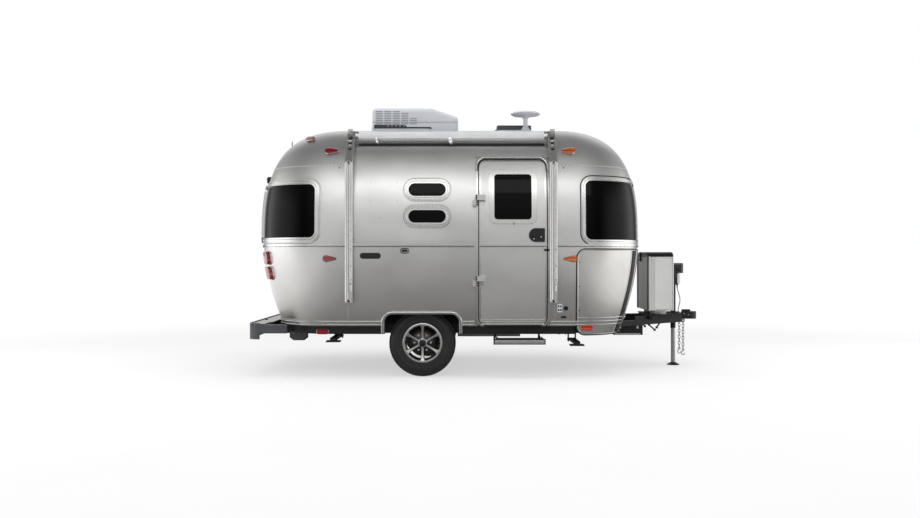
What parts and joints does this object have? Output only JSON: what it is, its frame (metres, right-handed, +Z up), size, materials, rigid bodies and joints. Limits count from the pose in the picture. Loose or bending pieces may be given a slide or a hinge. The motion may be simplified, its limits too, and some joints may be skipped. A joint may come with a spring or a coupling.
{
  "type": "travel caravan",
  "caption": "Riveted aluminium travel caravan with rounded ends, entrance door, fold-away step, tongue jack, gas bottle cover and roof air conditioner.",
  "frame": {"origin": "centre of the footprint on the ground", "axes": "+X forward to the hitch, +Y to the street side, +Z up"},
  "size_m": [5, 2.5149, 2.94],
  "materials": {
    "shell": "polished, clear coated",
    "cap_shell": "polished, clear coated",
    "trim": "satin",
    "glass": "dark tinted",
    "frame_black": "satin black",
    "chassis": "black enamel",
    "floor": "sealed plywood",
    "tyre": "matt",
    "rim": "machined",
    "drum": "rough",
    "plastic_white": "satin",
    "plastic_grey": "matt",
    "plastic_black": "matt",
    "vinyl": "coated awning cloth",
    "lens_red": "gloss",
    "lens_amber": "gloss",
    "steel": "zinc plated",
    "cable": "matt",
    "guard": "satin"
  },
  "bodies": {
    "caravan": {"roof": "shell", "wall_curb": "shell", "wall_street": "shell", "rear_cap_lower": "cap_shell", "rear_cap_upper": "cap_shell", "front_cap_lower": "cap_shell", "front_cap_upper": "cap_shell", "floor": "floor", "belt_rail": "trim", "rub_rail": "trim", "end_glass": "glass", "end_window_frames": "trim", "side_glass": "glass", "side_window_frames": "frame_black", "door_frame": "trim", "axle": "chassis", "chassis_frame": "chassis", "belly_skirt": "chassis", "outriggers": "chassis", "step_mount": "chassis", "a_frame": "chassis", "drawbar_box": "plastic_black", "coupler": "chassis", "jack_column": "plastic_black", "gas_cover": "guard", "gas_cover_lid": "plastic_black", "gas_bottles": "plastic_white", "bumper": "trim", "ac_unit": "plastic_white", "roof_fittings": "plastic_white", "awning_roll": "vinyl", "awning_arms": "trim", "stone_guards": "guard", "tank": "plastic_grey", "lamps_red": "lens_red", "lamps_amber": "lens_amber", "wall_fittings": "plastic_black", "safety_chains": "steel", "jack_lead": "cable"},
    "wheel_left": {"tyre_left": "tyre", "rim_left": "rim", "drum_left": "drum"},
    "wheel_right": {"tyre_right": "tyre", "rim_right": "rim", "drum_right": "drum"},
    "door": {"door_leaf": "shell", "door_glass": "glass", "door_window_frame": "frame_black", "door_handle": "plastic_black"},
    "step_arms": {"step_lead_links": "chassis"},
    "step_rear_arms": {"step_follower_links": "chassis"},
    "step": {"step_tread": "chassis"},
    "jack": {"jack_leg": "steel"},
    "leg_front_left": {"stabilizer_front_left": "chassis"},
    "leg_front_right": {"stabilizer_front_right": "chassis"},
    "leg_rear_left": {"stabilizer_rear_left": "chassis"},
    "leg_rear_right": {"stabilizer_rear_right": "chassis"},
    "roof_hatch": {"vent_lid": "plastic_grey"},
    "bumper_hatch": {"bumper_lid": "trim"}
  },
  "joints": [
    {"name": "wheel_left_spin", "type": "hinge", "parent": "caravan", "child": "wheel_left", "pos_m": [-0.664, 0, 0.35], "axis": [0, 1, 0], "continuous": true},
    {"name": "wheel_right_spin", "type": "hinge", "parent": "caravan", "child": "wheel_right", "pos_m": [-0.664, 0, 0.35], "axis": [0, 1, 0], "continuous": true},
    {"name": "door_swing", "type": "hinge", "parent": "caravan", "child": "door", "pos_m": [-0.097, -1.25, 1.375], "axis": [0, 0, -1], "range_deg": [0, 165]},
    {"name": "step_swing", "type": "hinge", "parent": "caravan", "child": "step_arms", "pos_m": [0.34, -0.79, 0.412], "axis": [1, 0, 0], "range_deg": [0, 148]},
    {"name": "step_rear_swing", "type": "hinge", "parent": "caravan", "child": "step_rear_arms", "pos_m": [0.34, -0.886, 0.412], "axis": [1, 0, 0], "range_deg": [0, 148]},
    {"name": "step_level", "type": "hinge", "parent": "step_arms", "child": "step", "pos_m": [0.34, -0.962, 0.38], "axis": [1, 0, 0], "range_deg": [-148, 0]},
    {"name": "jack_slide", "type": "slide", "parent": "caravan", "child": "jack", "axis": [0, 0, 1], "range_m": [0, 0.4]},
    {"name": "leg_front_left_swing", "type": "hinge", "parent": "caravan", "child": "leg_front_left", "pos_m": [0.978, 0.47, 0.34], "axis": [-1, 0, 0], "range_deg": [0, 38]},
    {"name": "leg_front_right_swing", "type": "hinge", "parent": "caravan", "child": "leg_front_right", "pos_m": [0.978, -0.47, 0.34], "axis": [1, 0, 0], "range_deg": [0, 38]},
    {"name": "leg_rear_left_swing", "type": "hinge", "parent": "caravan", "child": "leg_rear_left", "pos_m": [-1.621, 0.47, 0.38], "axis": [-1, 0, 0], "range_deg": [0, 44]},
    {"name": "leg_rear_right_swing", "type": "hinge", "parent": "caravan", "child": "leg_rear_right", "pos_m": [-1.621, -0.47, 0.38], "axis": [1, 0, 0], "range_deg": [0, 44]},
    {"name": "roof_hatch_swing", "type": "hinge", "parent": "caravan", "child": "roof_hatch", "pos_m": [0.139, 0, 2.712], "axis": [0, -1, 0], "range_deg": [0, 50]},
    {"name": "bumper_hatch_swing", "type": "hinge", "parent": "caravan", "child": "bumper_hatch", "pos_m": [-2.302, 0, 0.5505], "axis": [0, 1, 0], "range_deg": [0, 60]}
  ],
  "couplings": [
    {"joint": "step_rear_swing", "follows": "step_swing", "ratio": 1},
    {"joint": "step_level", "follows": "step_swing", "ratio": -1}
  ]
}
